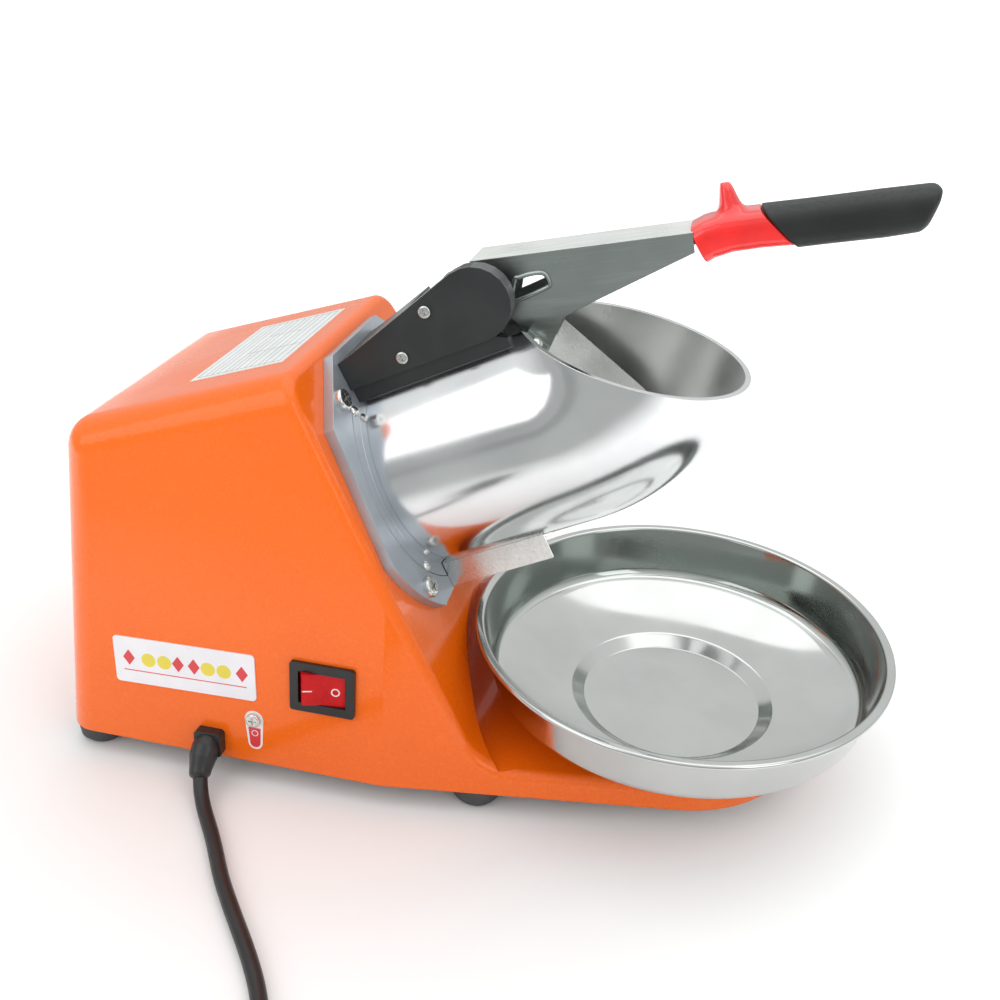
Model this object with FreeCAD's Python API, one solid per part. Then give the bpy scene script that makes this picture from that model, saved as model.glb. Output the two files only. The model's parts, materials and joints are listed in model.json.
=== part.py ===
import FreeCAD, Part
import math
import os

V = FreeCAD.Vector

# ---------------------------------------------------------------- driving dimensions (mm)
# Frame: +X towards the bowl, +Z up, Y = 0 is the middle plane, z = 0 is the table.
FOOT_HEIGHT = 12.0
BASE_HALF_WIDTH = 86.0
BODY_TOP = 215.0
SIDE_DRAFT = 5.0
REAR_DRAFT = 4.2
REAR_X = -116.0
TAPER_START_X = 48.0
NOSE_CENTRE_X = 176.0
NOSE_RADIUS = 66.0
WALL = 3.0
TOP_POINT_X, TOP_POINT_Z = -20.0, 196.3
TOP_SLOPE = 18.6
DECK_TOP = 24.4
DECK_HOLLOW_RADIUS = 28.0
CORNER_ROUND = 15.0
FACE_ROUND = 5.0
SEAT_RADIUS = 106.0

# Mill frame: origin at the centre of the ring on its front plane, Z along the barrel, X downwards.
MILL_X, MILL_Z = 40.0, 141.0
MILL_TILT = 27.0
RING_THICK = 5.0
FACE_OFFSET = 5.0
FLANGE_RADIUS = 57.3
RECESS_RADIUS = 57.7
BARREL_OUTER, BARREL_INNER = 51.5, 49.0
BARREL_STRAIGHT = 77.5
ELBOW_RADIUS = 57.0
ELBOW_ANGLE = 43.3
MOUTH_REACH, MOUTH_TILT = 3.9, 9.7
FEED_SLOT_HALF = 22.0
CUP_OUTER, CUP_INNER, CUP_DEPTH, CUP_WALL = 59.0, 53.0, 26.0, 4.0
EXIT_HALF, EXIT_DROP = 27.0, 58.0
RING_SCREW_RADIUS, RING_SCREW_ANGLES = 66.0, (40, -40, 131, -131)
FLANGE_SCREW_RADIUS, FLANGE_SCREW_ANGLES = 55.3, (40, -40, 131, -131)
HINGE_X, HINGE_Z = -65.0, 69.5

LEVER_ANGLE = 12.9
LEVER_HALF_WIDTH = 12.5
SHEET = 1.5
PADDLE_ANGLE = 49.0
PIN_RADIUS = 4.0
RUN_GAP = 0.05

BOWL_RIM_Z = 71.0
BOWL_SHEET = 0.8

DISC_RADIUS = 50.5
SHAFT_RADIUS = 6.0
MOTOR_RADIUS = 44.0

FOOT_POINTS = [(-103.4, 71.4), (-103.4, -71.4), (90, 66), (90, -66)]
BASE_SCREW_POINTS = [(-105, 45), (-105, -45), (-5, 74), (-5, -74), (198, 46), (198, -46)]

os.makedirs("parts", exist_ok=True)


# ---------------------------------------------------------------- small helpers
def tan(degrees):
    return math.tan(math.radians(degrees))


def cos(degrees):
    return math.cos(math.radians(degrees))


def sin(degrees):
    return math.sin(math.radians(degrees))


def box(x0, x1, y0, y1, z0, z1):
    return Part.makeBox(x1 - x0, y1 - y0, z1 - z0, V(x0, y0, z0))


def rod(radius, z0, z1, x=0.0, y=0.0):
    return Part.makeCylinder(radius, z1 - z0, V(x, y, z0), V(0, 0, 1))


def ring(outer, inner, z0, z1, x=0.0, y=0.0):
    return rod(outer, z0, z1, x, y).cut(rod(inner, z0 - 1, z1 + 1, x, y))


def rod_y(radius, y0, y1, x, z):
    return Part.makeCylinder(radius, y1 - y0, V(x, y0, z), V(0, 1, 0))


def prism_z(points, z0, z1):
    wire = Part.makePolygon([V(x, y, z0) for x, y in points + points[:1]])
    return Part.Face(wire).extrude(V(0, 0, z1 - z0))


def prism_y(points, y0, y1):
    wire = Part.makePolygon([V(x, y0, z) for x, z in points + points[:1]])
    return Part.Face(wire).extrude(V(0, y1 - y0, 0))


def revolve_z(points):
    wire = Part.makePolygon([V(r, 0, z) for r, z in points + points[:1]])
    return Part.Face(wire).revolve(V(0, 0, 0), V(0, 0, 1), 360)


def polar(radius, degrees):
    """Point on the mill plane; the angle is measured from straight up."""
    return -radius * cos(degrees), radius * sin(degrees)


def join(shapes):
    shape = shapes[0]
    if len(shapes) > 1:
        shape = shape.multiFuse(shapes[1:])
    return shape.removeSplitter()


def group(shapes):
    return Part.makeCompound(shapes)


def turned(shape, angle, axis, about=V(0, 0, 0)):
    copy = shape.copy()
    copy.rotate(about, axis, angle)
    return copy


def moved(shape, x, y, z):
    copy = shape.copy()
    copy.translate(V(x, y, z))
    return copy


def in_mill(shape):
    """From mill coordinates to the machine."""
    return moved(turned(shape, 90 - MILL_TILT, V(0, 1, 0)), MILL_X, 0, MILL_Z)


def mill_point(x, z):
    return (MILL_X + z * cos(MILL_TILT) + x * sin(MILL_TILT), MILL_Z + z * sin(MILL_TILT) - x * cos(MILL_TILT))


HINGE = mill_point(HINGE_X, HINGE_Z)


def in_lever(shape):
    """From lever coordinates (X along the lever, Z above it, origin on the pin) to the machine."""
    return moved(turned(shape, -LEVER_ANGLE, V(0, 1, 0)), HINGE[0], 0, HINGE[1])


def side_y(z):
    return -BASE_HALF_WIDTH + (z - FOOT_HEIGHT) * tan(SIDE_DRAFT)


def on_side(shape, x, z):
    """From panel coordinates (X forward, Y up the wall, Z outwards) to the switch side of the housing."""
    return moved(turned(shape, 90 - SIDE_DRAFT, V(1, 0, 0)), x, side_y(z), z)


def on_top(shape, x, y):
    z = TOP_POINT_Z + (x - TOP_POINT_X) * tan(TOP_SLOPE)
    return moved(turned(shape, -TOP_SLOPE, V(0, 1, 0)), x, y, z)


def pan_screw(head_radius, head_height, shaft_radius, length):
    """Pan-head cross-recessed screw, head from z = 0 up, shaft from z = 0 down."""
    head = rod(head_radius, 0, head_height)
    top = [e for e in head.Edges if abs(e.BoundBox.ZMin - head_height) < 1e-6]
    head = head.makeFillet(0.45 * head_height, top)
    arm, depth = head_radius * 0.55, head_height * 0.5
    cross = box(-arm, arm, -0.4, 0.4, head_height - depth, head_height + 1)
    head = head.cut(cross).cut(turned(cross, 90, V(0, 0, 1)))
    return join([head, rod(shaft_radius, -length, 0)])


def save(node, shape):
    shape.exportStep("parts/" + node + ".step")


# ---------------------------------------------------------------- housing
def body_outline(z, inset):
    """Plan outline at a height: square tail, straight sides, tapering to a round nose."""
    lean = (z - FOOT_HEIGHT) * tan(SIDE_DRAFT)
    half = BASE_HALF_WIDTH - inset - lean
    radius = NOSE_RADIUS - inset - lean
    rear = REAR_X + inset + (z - FOOT_HEIGHT) * tan(REAR_DRAFT)
    run, drop = NOSE_CENTRE_X - TAPER_START_X, BASE_HALF_WIDTH - NOSE_RADIUS
    angle = math.degrees(math.asin(drop / math.hypot(run, drop)))
    touch_x, touch_y = NOSE_CENTRE_X + radius * sin(angle), radius * cos(angle)
    tip = V(NOSE_CENTRE_X + radius, 0, z)
    near = [V(rear, -half, z), V(TAPER_START_X, -half, z), V(touch_x, -touch_y, z)]
    far = [V(touch_x, touch_y, z), V(TAPER_START_X, half, z), V(rear, half, z)]
    edges = [Part.makeLine(near[0], near[1]), Part.makeLine(near[1], near[2])]
    edges.append(Part.Arc(near[2], tip, far[0]).toShape())
    edges += [Part.makeLine(far[0], far[1]), Part.makeLine(far[1], far[2]), Part.makeLine(far[2], near[0])]
    return Part.Wire(edges)


def face_x(z, back):
    """Front face of the housing, parallel to the ring; back is the distance behind the ring plane."""
    return MILL_X - back / cos(MILL_TILT) - (z - MILL_Z) * tan(MILL_TILT)


def side_profile(inset):
    """Side view of the body: rear wall, sloping top, leaning face, hollow and deck."""
    def top_z(x):
        return TOP_POINT_Z - inset / cos(TOP_SLOPE) + (x - TOP_POINT_X) * tan(TOP_SLOPE)
    deck = DECK_TOP - inset
    back = FACE_OFFSET + inset
    far_left, far_right = REAR_X - 40, NOSE_CENTRE_X + NOSE_RADIUS + 40
    crest_x = 0.0
    for _ in range(30):
        crest_x = face_x(top_z(crest_x), back)
    radius = DECK_HOLLOW_RADIUS
    reach = radius * tan((90 - MILL_TILT) / 2)
    knee = V(face_x(deck, back), 0, deck)
    start = V(knee.x - reach * sin(MILL_TILT), 0, deck + reach * cos(MILL_TILT))
    end = V(knee.x + reach, 0, deck)
    centre = V(end.x, 0, deck + radius)
    middle = (45 + MILL_TILT / 2)
    mid = V(centre.x - radius * sin(90 - middle), 0, centre.z - radius * cos(90 - middle))
    low = FOOT_HEIGHT - 5
    corners = [V(far_left, 0, low), V(far_left, 0, top_z(far_left)), V(crest_x, 0, top_z(crest_x)), start]
    edges = [Part.makeLine(a, b) for a, b in zip(corners, corners[1:])]
    edges.append(Part.Arc(start, mid, end).toShape())
    rest = [end, V(far_right, 0, deck), V(far_right, 0, low), corners[0]]
    edges += [Part.makeLine(a, b) for a, b in zip(rest, rest[1:])]
    face = Part.Face(Part.Wire(edges))
    face.translate(V(0, -150, 0))
    return face.extrude(V(0, 300, 0))


def body_block(inset, floor):
    block = Part.makeLoft([body_outline(floor, inset), body_outline(BODY_TOP, inset)], True, True)
    return block.common(side_profile(inset))


def rounded_tail(block, radius):
    """Wide rounds on the two rear uprights and along both sides of the sloping top."""
    tail = [e for e in block.Edges if e.CenterOfMass.x < -100 and e.BoundBox.ZMax > FOOT_HEIGHT + 1]
    flanks = [e for e in block.Edges if abs(e.CenterOfMass.y) > 60 and e.CenterOfMass.z > 175]
    return block.makeFillet(radius, tail + flanks)


def rounded_body():
    """Body with wide rounds on the tail and the top, then finer rounds around the front face and deck."""
    block = rounded_tail(body_block(0, FOOT_HEIGHT), CORNER_ROUND)
    chain = []
    for edge in block.Edges:
        middle = edge.CenterOfMass
        ahead = middle.x > -5 and edge.BoundBox.ZMin > DECK_TOP - 1
        taper_seam = abs(middle.x - TAPER_START_X) < 1
        across_deck = abs(middle.y) < 1 and middle.z < 50 and middle.x < 112
        if ahead and not taper_seam and not across_deck:
            chain.append(edge)
    return block.makeFillet(FACE_ROUND, chain)


def ring_outline():
    """Half of the ring plate seen from the front, from the top down, as (down, across)."""
    points = [(-68, 0), (-68, 30), (-44, 60), (20, 69)]
    for step in range(0, 8):
        angle = 106 + step * 5.5
        points.append(polar(72.0, angle))
    points.append((EXIT_DROP, polar(72.0, 144.5)[1] - 1.5))
    points.append((EXIT_DROP, 0))
    return points


def mirrored(points):
    return points + [(x, -y) for x, y in reversed(points) if abs(y) > 1e-9]


def ring_screw_solids():
    return [moved(pan_screw(5.0, 3.0, 2.0, 17), *polar(RING_SCREW_RADIUS, a), 0) for a in RING_SCREW_ANGLES]


def housing(block):
    cavity = rounded_tail(body_block(WALL, FOOT_HEIGHT - 3), CORNER_ROUND - WALL)
    cavity = cavity.cut(rod(SEAT_RADIUS + WALL, DECK_TOP - WALL, 200, NOSE_CENTRE_X, 0))
    shell = block.cut(rod(SEAT_RADIUS, DECK_TOP, 200, NOSE_CENTRE_X, 0)).cut(cavity)
    bosses = [in_mill(rod(5.2, -22, -FACE_OFFSET - 1, *polar(RING_SCREW_RADIUS, a))) for a in RING_SCREW_ANGLES]
    posts = []
    for x, y in BASE_SCREW_POINTS:
        post = rod(5.0, FOOT_HEIGHT + 3, FOOT_HEIGHT + (9 if x > 100 else 26), x, y)
        web = box(-4, 4, 0, 14, FOOT_HEIGHT + 3, FOOT_HEIGHT + (9 if x > 100 else 26))
        heading = -90 if abs(y) > 60 and y < 0 else 90 if abs(y) > 60 else 180
        if x > 100:
            heading = math.degrees(math.atan2(y, x - NOSE_CENTRE_X))
        web = turned(web, heading - 90, V(0, 0, 1))
        posts += [post, moved(web, x, y, 0)]
    inner = [piece.common(block) for piece in bosses + posts]
    shell = shell.multiFuse(inner)
    opening = rod(CUP_OUTER + 0.3, -12, 0.5)
    opening = opening.fuse(box(0, EXIT_DROP + 3.3, -EXIT_HALF - 3.3, EXIT_HALF + 3.3, -12, 0.5))
    shell = shell.cut(in_mill(opening))
    return shell


def base_plate():
    gap = 0.4
    plate = Part.Face(body_outline(FOOT_HEIGHT, WALL + gap)).extrude(V(0, 0, 2))
    tail = [e for e in plate.Edges if e.CenterOfMass.x < -100 and abs(e.BoundBox.ZLength - 2) < 1e-6]
    plate = plate.makeFillet(CORNER_ROUND - WALL - gap, tail)
    plate.translate(V(0, 0, 1))
    for index in range(9):
        x = -60 + index * 11
        plate = plate.cut(box(x, x + 4, -30, 30, FOOT_HEIGHT, FOOT_HEIGHT + 4))
    return plate


def base_screws():
    screw = turned(pan_screw(3.2, 2.0, 1.5, 9), 180, V(1, 0, 0))
    return [moved(screw, x, y, FOOT_HEIGHT + 1) for x, y in BASE_SCREW_POINTS]


def feet():
    shapes = []
    for x, y in FOOT_POINTS:
        foot = revolve_z([(0, 0), (9, 0), (11.5, 3), (12.3, 11.5), (9, 11.5), (9, 13), (0, 13)])
        foot = foot.cut(rod(5.5, -1, 6)).cut(rod(2.0, -1, 20))
        shapes.append(moved(foot, x, y, 0))
    return shapes


def foot_screws():
    screw = turned(pan_screw(4.0, 2.4, 2.0, 15), 180, V(1, 0, 0))
    return [moved(screw, x, y, 6) for x, y in FOOT_POINTS]


def hexagon(flats, z0, z1, bore):
    corner = flats / 2 / cos(30)
    nut = prism_z([(corner * cos(60 * i), corner * sin(60 * i)) for i in range(6)], z0, z1)
    return nut.cut(rod(bore, z0 - 1, z1 + 1))


def foot_nuts():
    return [moved(hexagon(7, FOOT_HEIGHT + 3, FOOT_HEIGHT + 6, 2.0), x, y, 0) for x, y in FOOT_POINTS]


# ---------------------------------------------------------------- mill casting and hopper
def ring_casting():
    plate = prism_z(mirrored(ring_outline()), -RING_THICK, 0)
    plate = plate.cut(rod(RECESS_RADIUS, -RING_THICK - 1, 1))
    plate = plate.cut(box(0, 100, -EXIT_HALF, EXIT_HALF, -RING_THICK - 1, 1))
    cup = rod(CUP_OUTER, -CUP_DEPTH - CUP_WALL, -RING_THICK)
    cup = cup.fuse(box(0, EXIT_DROP + 3, -EXIT_HALF - 3, EXIT_HALF + 3, -CUP_DEPTH - CUP_WALL, -RING_THICK))
    cup = cup.cut(rod(CUP_INNER, -CUP_DEPTH, 1))
    cup = cup.cut(box(0, EXIT_DROP, -EXIT_HALF, EXIT_HALF, -CUP_DEPTH, 1))
    cup = cup.cut(rod(11.0, -CUP_DEPTH - CUP_WALL - 1, 0))
    return join([plate, cup])


def flange_screws():
    shapes = []
    for angle in FLANGE_SCREW_ANGLES:
        screw = join([rod(2.0, 0, 0.4), rod(1.3, -14, 0)])
        dome = Part.makeSphere(3.0, V(0, 0, -1.4)).common(rod(2.7, 0, 3))
        x, y = polar(FLANGE_SCREW_RADIUS, angle)
        shapes.append(moved(join([screw, dome]), x, y, 0))
    return shapes


def swept_tube(radius, z0):
    straight = rod(radius, z0, BARREL_STRAIGHT)
    disc = Part.Face(Part.Wire(Part.makeCircle(radius, V(0, 0, BARREL_STRAIGHT), V(0, 0, 1))))
    hub = V(-ELBOW_RADIUS, 0, BARREL_STRAIGHT)
    bend = disc.revolve(hub, V(0, -1, 0), ELBOW_ANGLE)
    spout = turned(rod(radius, BARREL_STRAIGHT, BARREL_STRAIGHT + 40), -ELBOW_ANGLE, V(0, 1, 0), hub)
    return straight.fuse(bend).fuse(spout)


def mouth_cutter():
    """Block above the slanted mouth plane."""
    base = BARREL_STRAIGHT + MOUTH_REACH
    block = box(-200, 200, -100, 100, base, base + 200)
    block = turned(block, -MOUTH_TILT, V(0, 1, 0), V(0, 0, base))
    return turned(block, -ELBOW_ANGLE, V(0, 1, 0), V(-ELBOW_RADIUS, 0, BARREL_STRAIGHT))


def hopper():
    flange = rod(FLANGE_RADIUS, -RING_THICK, 0)
    flange = flange.cut(box(0, 100, -EXIT_HALF - 0.5, EXIT_HALF + 0.5, -10, 10).cut(rod(BARREL_OUTER, -11, 11)))
    body = swept_tube(BARREL_OUTER, -RING_THICK).fuse(flange)
    body = body.cut(swept_tube(BARREL_INNER, -RING_THICK - 1)).cut(mouth_cutter())
    slot = box(-90, -30, -FEED_SLOT_HALF, FEED_SLOT_HALF, HINGE_Z - 4.0, 170)
    return body.cut(slot)


def ice_chute():
    """Sheet hood under the barrel that turns the shavings down into the bowl."""
    half, outer, inner = EXIT_HALF - 0.2, BARREL_OUTER + 1.25, BARREL_OUTER + 0.05
    arc_sheet = ring(outer, inner, -4.5, 53).common(box(0, 100, -half, half, -6, 60))
    side = box(math.sqrt(inner ** 2 - half ** 2), 57.0, half - 1.2, half, -4.5, 53)
    side = side.cut(rod(inner, -6, 60))
    return join([arc_sheet, side, turned(side, 180, V(1, 0, 0), V(0, 0, 24.25))])


# ---------------------------------------------------------------- hinge
def capsule_hull(circles, y0, y1):
    """Plate in the X-Z plane wrapping circles given as (x, z, radius)."""
    shape = None
    for (xa, za, ra), (xb, zb, rb) in zip(circles, circles[1:]):
        length = math.hypot(xb - xa, zb - za)
        lean = math.acos((ra - rb) / length)
        heading = math.atan2(zb - za, xb - xa)
        corners = []
        for side in (1, -1):
            angle = heading + side * lean
            corners.append((xa + ra * math.cos(angle), za + ra * math.sin(angle)))
            corners.append((xb + rb * math.cos(angle), zb + rb * math.sin(angle)))
        quad = [corners[0], corners[1], corners[3], corners[2]]
        piece = prism_y(quad, y0, y1).fuse(rod_y(ra, y0, y1, xa, za)).fuse(rod_y(rb, y0, y1, xb, zb))
        shape = piece if shape is None else shape.fuse(piece)
    return shape


COVER_SCREWS = [(-71.0, 48.2), (-56.2, 29.9)]


def hinge_bracket():
    side = [(-54, 0), (-54, 65.8), (-49.8, 65.8), (-49.8, 72), (-47.5, 76), (0, 76), (0, 0)]
    rail = prism_y(side, 14, 27.5)
    slot = box(-90, 0, -FEED_SLOT_HALF, FEED_SLOT_HALF, HINGE_Z - 4.0, 100)
    block = box(-56, 0, -27.5, 27.5, 0, 54).fuse(rail).fuse(moved(rail, 0, -41.5, 0)).cut(slot)
    block = block.fuse(box(-61.5, -50, -27.5, 27.5, 0, 4))
    block = block.cut(rod(BARREL_OUTER + 0.05, -1, 90)).cut(box(-41, 10, -60, 60, -1, 90))
    ear_circles = [(-56.2, 29.9, 4.5), (-71.0, 48.2, 4.5), (HINGE_X, HINGE_Z, 10.0), (-54, 62, 3.5)]
    parts = [block]
    for side in (1, -1):
        y0, y1 = sorted((14 * side, 19 * side))
        parts.append(capsule_hull(ear_circles, y0, y1))
        parts.append(prism_y([(-56.2, 29.9), (-71, 48.2), (-65, 69.5), (-50, 64), (-50, 26)], y0, y1))
    parts += [rod_y(3.5, -28, -19, x, z) for x, z in COVER_SCREWS]
    shape = join(parts)
    shape = shape.cut(rod_y(PIN_RADIUS, -40, 40, HINGE_X, HINGE_Z))
    return shape.cut(rod(BARREL_OUTER + 0.05, -1, 90))


def bracket_screws():
    return [moved(pan_screw(2.3, 1.8, 1.5, 10), -58.7, y, 4) for y in (-20, 20)]


def cover_outline(shrink):
    points = [(-63.5 + shrink, 0.2), (-65.2 + shrink, 7.7), (-81.5 + shrink, 64.5)]
    for step in range(1, 12):
        angle = 104 - step * 16.5
        reach = 16.0 - shrink
        points.append((-66 - reach * sin(angle), 69 + reach * cos(angle)))
    points += [(-50.0 - shrink, 66.0), (-50.6 - shrink, 0.2)]
    return points


def hinge_cover():
    """Dished plate on the switch side, with a strip that reaches across over the micro switch."""
    wall = 2.0
    shell = prism_y(cover_outline(0), -30, -20.8).cut(prism_y(cover_outline(wall), -30 + wall, -20))
    shell = shell.cut(box(-56.2, 0, -27.5 - RUN_GAP, -20, -1, 66))
    roof = [(-63.5, 0.2), (-65.2, 7.7), (-73.1, 36), (-71.1, 36), (-63.2, 7.7), (-61.6, 0.2)]
    return join([shell, prism_y(roof, -29, 19)])


def cover_screws():
    screw = turned(pan_screw(2.8, 1.8, 1.5, 10), 90, V(1, 0, 0))
    return [moved(screw, x, -30, z) for x, z in COVER_SCREWS]


def hinge_pin():
    pin = rod_y(PIN_RADIUS, -23, 23, HINGE_X, HINGE_Z)
    for y in (-20.4, 19.2):
        groove = rod_y(6, y, y + 1.2, HINGE_X, HINGE_Z).cut(rod_y(3.3, y, y + 1.2, HINGE_X, HINGE_Z))
        pin = pin.cut(groove)
    return pin


def pin_clips():
    shapes = []
    for y in (-20.4, 19.2):
        clip = rod_y(6.5, y, y + 1.2, HINGE_X, HINGE_Z).cut(rod_y(3.3, y, y + 1.2, HINGE_X, HINGE_Z))
        gap = box(HINGE_X - 1.8, HINGE_X + 1.8, y - 1, y + 3, HINGE_Z, HINGE_Z + 9)
        shapes.append(clip.cut(gap))
    return shapes


def wire_along(points, radius):
    """Round wire through points with ball joints at the bends."""
    parts = []
    for a, b in zip(points, points[1:]):
        start, run = V(*a), V(*b) - V(*a)
        parts.append(Part.makeCylinder(radius, run.Length, start, run))
        parts.append(Part.makeSphere(radius, V(*b)))
    return parts


def lever_spring():
    """Torsion spring on the pin, in lever coordinates; one leg hooks over the lever, one rests on the bracket."""
    pitch, turns, radius, wire = 2.2, 6.25, 6.3, 0.8
    length = pitch * turns
    coils = Part.makeHelix(pitch, length, radius)
    coils.rotate(V(0, 0, 0), V(1, 0, 0), -90)
    coils.translate(V(0, -length / 2, 0))
    start = coils.Edges[0].valueAt(coils.Edges[0].FirstParameter)
    tangent = coils.Edges[0].tangentAt(coils.Edges[0].FirstParameter)
    profile = Part.Wire(Part.makeCircle(wire, start, tangent))
    body = Part.Wire(coils.Edges).makePipeShell([profile], True, True)
    near, far = -length / 2, length / 2
    upper = wire_along([(radius, near, 0), (radius, near, 10), (20, near, 12.9)], wire)
    lower = wire_along([(0, far, -radius), (-17, far, -12.3)], wire)
    return join([body] + upper + lower)


def micro_switch():
    body = box(-66.5, -56.0, -5, 5, 34, 53)
    body = body.cut(rod(1.6, 49, 60, -61.5, 0))
    blades = [box(-64 + 3.5 * i, -62.8 + 3.5 * i, -2, 2, 28, 34) for i in range(3)]
    return join([body] + blades)


def micro_plunger():
    return rod(1.55, 50.5, 55.5, -61.5, 0)


# ---------------------------------------------------------------- lever
def lever_channel():
    outline = [(-4, 15.4), (90, 15.4), (90, 7.2), (48, -7.6), (33, -13.4), (23.9, -27.5), (9, -10.4), (0, -12)]
    near = prism_y(outline, -LEVER_HALF_WIDTH, -LEVER_HALF_WIDTH + SHEET)
    far = prism_y(outline, LEVER_HALF_WIDTH - SHEET, LEVER_HALF_WIDTH)
    lobes = [rod_y(12.2, y, y + SHEET, 0, 0) for y in (-LEVER_HALF_WIDTH, LEVER_HALF_WIDTH - SHEET)]
    roof = box(-4, 90, -LEVER_HALF_WIDTH, LEVER_HALF_WIDTH, 15.4 - SHEET, 15.4)
    window = prism_y([(11, -4.6), (14.5, 5.6), (22.5, 7.0), (27.6, 6.0), (28.8, 1.6), (27.2, 0.3)], -20, 20)
    tang = box(86, 172, -7, 7, 9.4, 12.4).fuse(box(84, 90, -12, 12, 9.4, 15))
    tabs = [box(24, 36, 11.5, 20, 0, 1.5), box(24, 36, -20, -11.5, 0, 1.5)]
    tabs = [turned(tab, PADDLE_ANGLE, V(0, 1, 0)) for tab in tabs]
    shape = join([near, far, roof, tang] + lobes + tabs)
    shape = shape.cut(window).cut(rod_y(PIN_RADIUS + RUN_GAP, -30, 30, 0, 0))
    floor = turned(box(0, 60, -30, 30, -30, 0), PADDLE_ANGLE, V(0, 1, 0))
    trim = floor.cut(rod_y(12.4, -31, 31, 0, 0))
    return shape.cut(trim)


def pusher_plate():
    half, tongue, end, corner = 33.0, 20.5, 100.0, 16.0
    outline = [(24, -tongue), (29, -tongue), (35, -half), (end, -half)]
    plate = prism_z(mirrored(outline), -SHEET, 0)
    corners = [e for e in plate.Edges if e.CenterOfMass.x > end - 1 and abs(e.BoundBox.ZLength - SHEET) < 1e-6]
    plate = plate.makeFillet(corner, corners)
    for x, y in PUSHER_RIVETS:
        plate = plate.cut(rod(1.5, -3, 3, x, y))
    return turned(plate, PADDLE_ANGLE, V(0, 1, 0))


PUSHER_RIVETS = [(30, 16.5), (30, -16.5)]


def pusher_rivets():
    shapes = []
    for x, y in PUSHER_RIVETS:
        shaft = rod(1.5, -SHEET, 1.5, x, y)
        front = Part.makeSphere(3.2, V(x, y, 0.1)).common(rod(2.8, 1.5, 5, x, y))
        back = Part.makeSphere(3.2, V(x, y, -0.1)).common(rod(2.8, -5, -SHEET, x, y))
        shapes.append(turned(join([shaft, front, back]), PADDLE_ANGLE, V(0, 1, 0)))
    return shapes


def grip_collar():
    curve = [(88.3, 17.4), (100, 20.0), (101.2, 28.4), (102.5, 30.9), (104.5, 31.4), (106.4, 30.2), (108.2, 25.6)]
    curve += [(110.4, 20.6), (118.0, 20.6)]
    lower = [(130.8, 3.4), (112, 4.0), (103, 3.6), (94.4, 0.4), (91.3, 7.0)]
    block = prism_y(curve + lower, -13.5, 13.5)
    flank = prism_y([(80, -10), (80, 40), (140, 40), (140, -10)], -13.5, 13.5)
    block = block.common(flank)
    spur = box(96, 112, -13.5, -7, 20.4, 40).fuse(box(96, 112, 7, 13.5, 20.4, 40))
    return block.cut(spur)


def grip_sleeve():
    body = box(112, 186, -11, 11, 2.6, 19.9)
    long_edges = [e for e in body.Edges if abs(e.Vertexes[0].X - e.Vertexes[1].X) > 50]
    body = body.makeFillet(6.0, long_edges)
    tip = [e for e in body.Edges if e.BoundBox.XMin > 185.9]
    body = body.makeFillet(5.0, tip)
    return body.cut(grip_collar().fuse(prism_y([(100, 40), (104.5, 40), (139, -6), (100, -6)], -20, 20)))


# ---------------------------------------------------------------- cutter and motor (mill frame)
def blade_body(turn):
    blade = box(-40, -10, -9, 5, -7, -5.4)
    edge = prism_y([(-45, -4), (-5, -4), (-5, -6), (-45, -6)], -30, 30)
    edge = moved(turned(edge, 20, V(1, 0, 0)), 0, 6.5, -2.2)
    return turned(blade.cut(edge), turn, V(0, 0, 1))


def cutter_disc():
    disc = rod(DISC_RADIUS, -10, -7).cut(rod(4.0, -11, -6))
    for turn in (0, 180):
        disc = disc.cut(turned(box(-42, -9, 2, 8, -11, -6), turn, V(0, 0, 1)))
    holes = [rod(1.6, -11, -6, *polar(46, angle)) for angle in range(15, 360, 30)]
    return disc.cut(group(holes))


def blade_screws():
    shapes = []
    for turn in (0, 180):
        for x in (-33, -17):
            screw = moved(pan_screw(2.6, 1.4, 1.3, 4.6), x, -3.5, -5.4)
            shapes.append(turned(screw, turn, V(0, 0, 1)))
    return shapes


def disc_nut():
    return hexagon(13, -7, -2, 4.0)


def drive_shaft():
    return join([rod(SHAFT_RADIUS, -130, -10), rod(4.0, -10, -1)])


def cooling_fan():
    hub = ring(10, SHAFT_RADIUS, -124, -114)
    plate = ring(37, 9, -116, -114)
    vanes = [turned(box(9, 36, -0.8, 0.8, -124, -115), a, V(0, 0, 1)) for a in range(0, 360, 45)]
    return join([hub, plate] + vanes)


MOTOR_EAR_RADIUS = 48.0
MOTOR_EAR_ANGLES = (45, 135, 225, 315)


def motor_front_bell():
    bell = ring(MOTOR_RADIUS, 41, -50, -30).fuse(ring(41.5, 11, -34, -30)).fuse(ring(20, 16, -44, -33))
    ears = [rod(5, -50, -44, *polar(MOTOR_EAR_RADIUS, a)) for a in MOTOR_EAR_ANGLES]
    return join([bell] + [ear.cut(rod(42, -60, -20)) for ear in ears])


def motor_rear_bell():
    bell = ring(MOTOR_RADIUS, 41, -110, -90).fuse(ring(41.5, 9, -110, -106)).fuse(ring(20, 16, -107, -96))
    ears = [rod(5, -96, -90, *polar(MOTOR_EAR_RADIUS, a)) for a in MOTOR_EAR_ANGLES]
    bell = join([bell] + [ear.cut(rod(42, -120, -20)) for ear in ears])
    for angle in range(0, 360, 45):
        bell = bell.cut(rod(4, -112, -104, *polar(31, angle)))
    return bell


def stator_core():
    core = ring(MOTOR_RADIUS, 26.0, -90, -50)
    slots = [turned(box(25, 37, -1.6, 1.6, -91, -49), a, V(0, 0, 1)) for a in range(0, 360, 20)]
    return core.cut(group(slots))


def stator_windings():
    return [ring(38.5, 27.5, -49.9, -45.5), ring(38.5, 27.5, -95.5, -90.1)]


def rotor_core():
    return ring(25.5, SHAFT_RADIUS, -88, -52)


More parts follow.
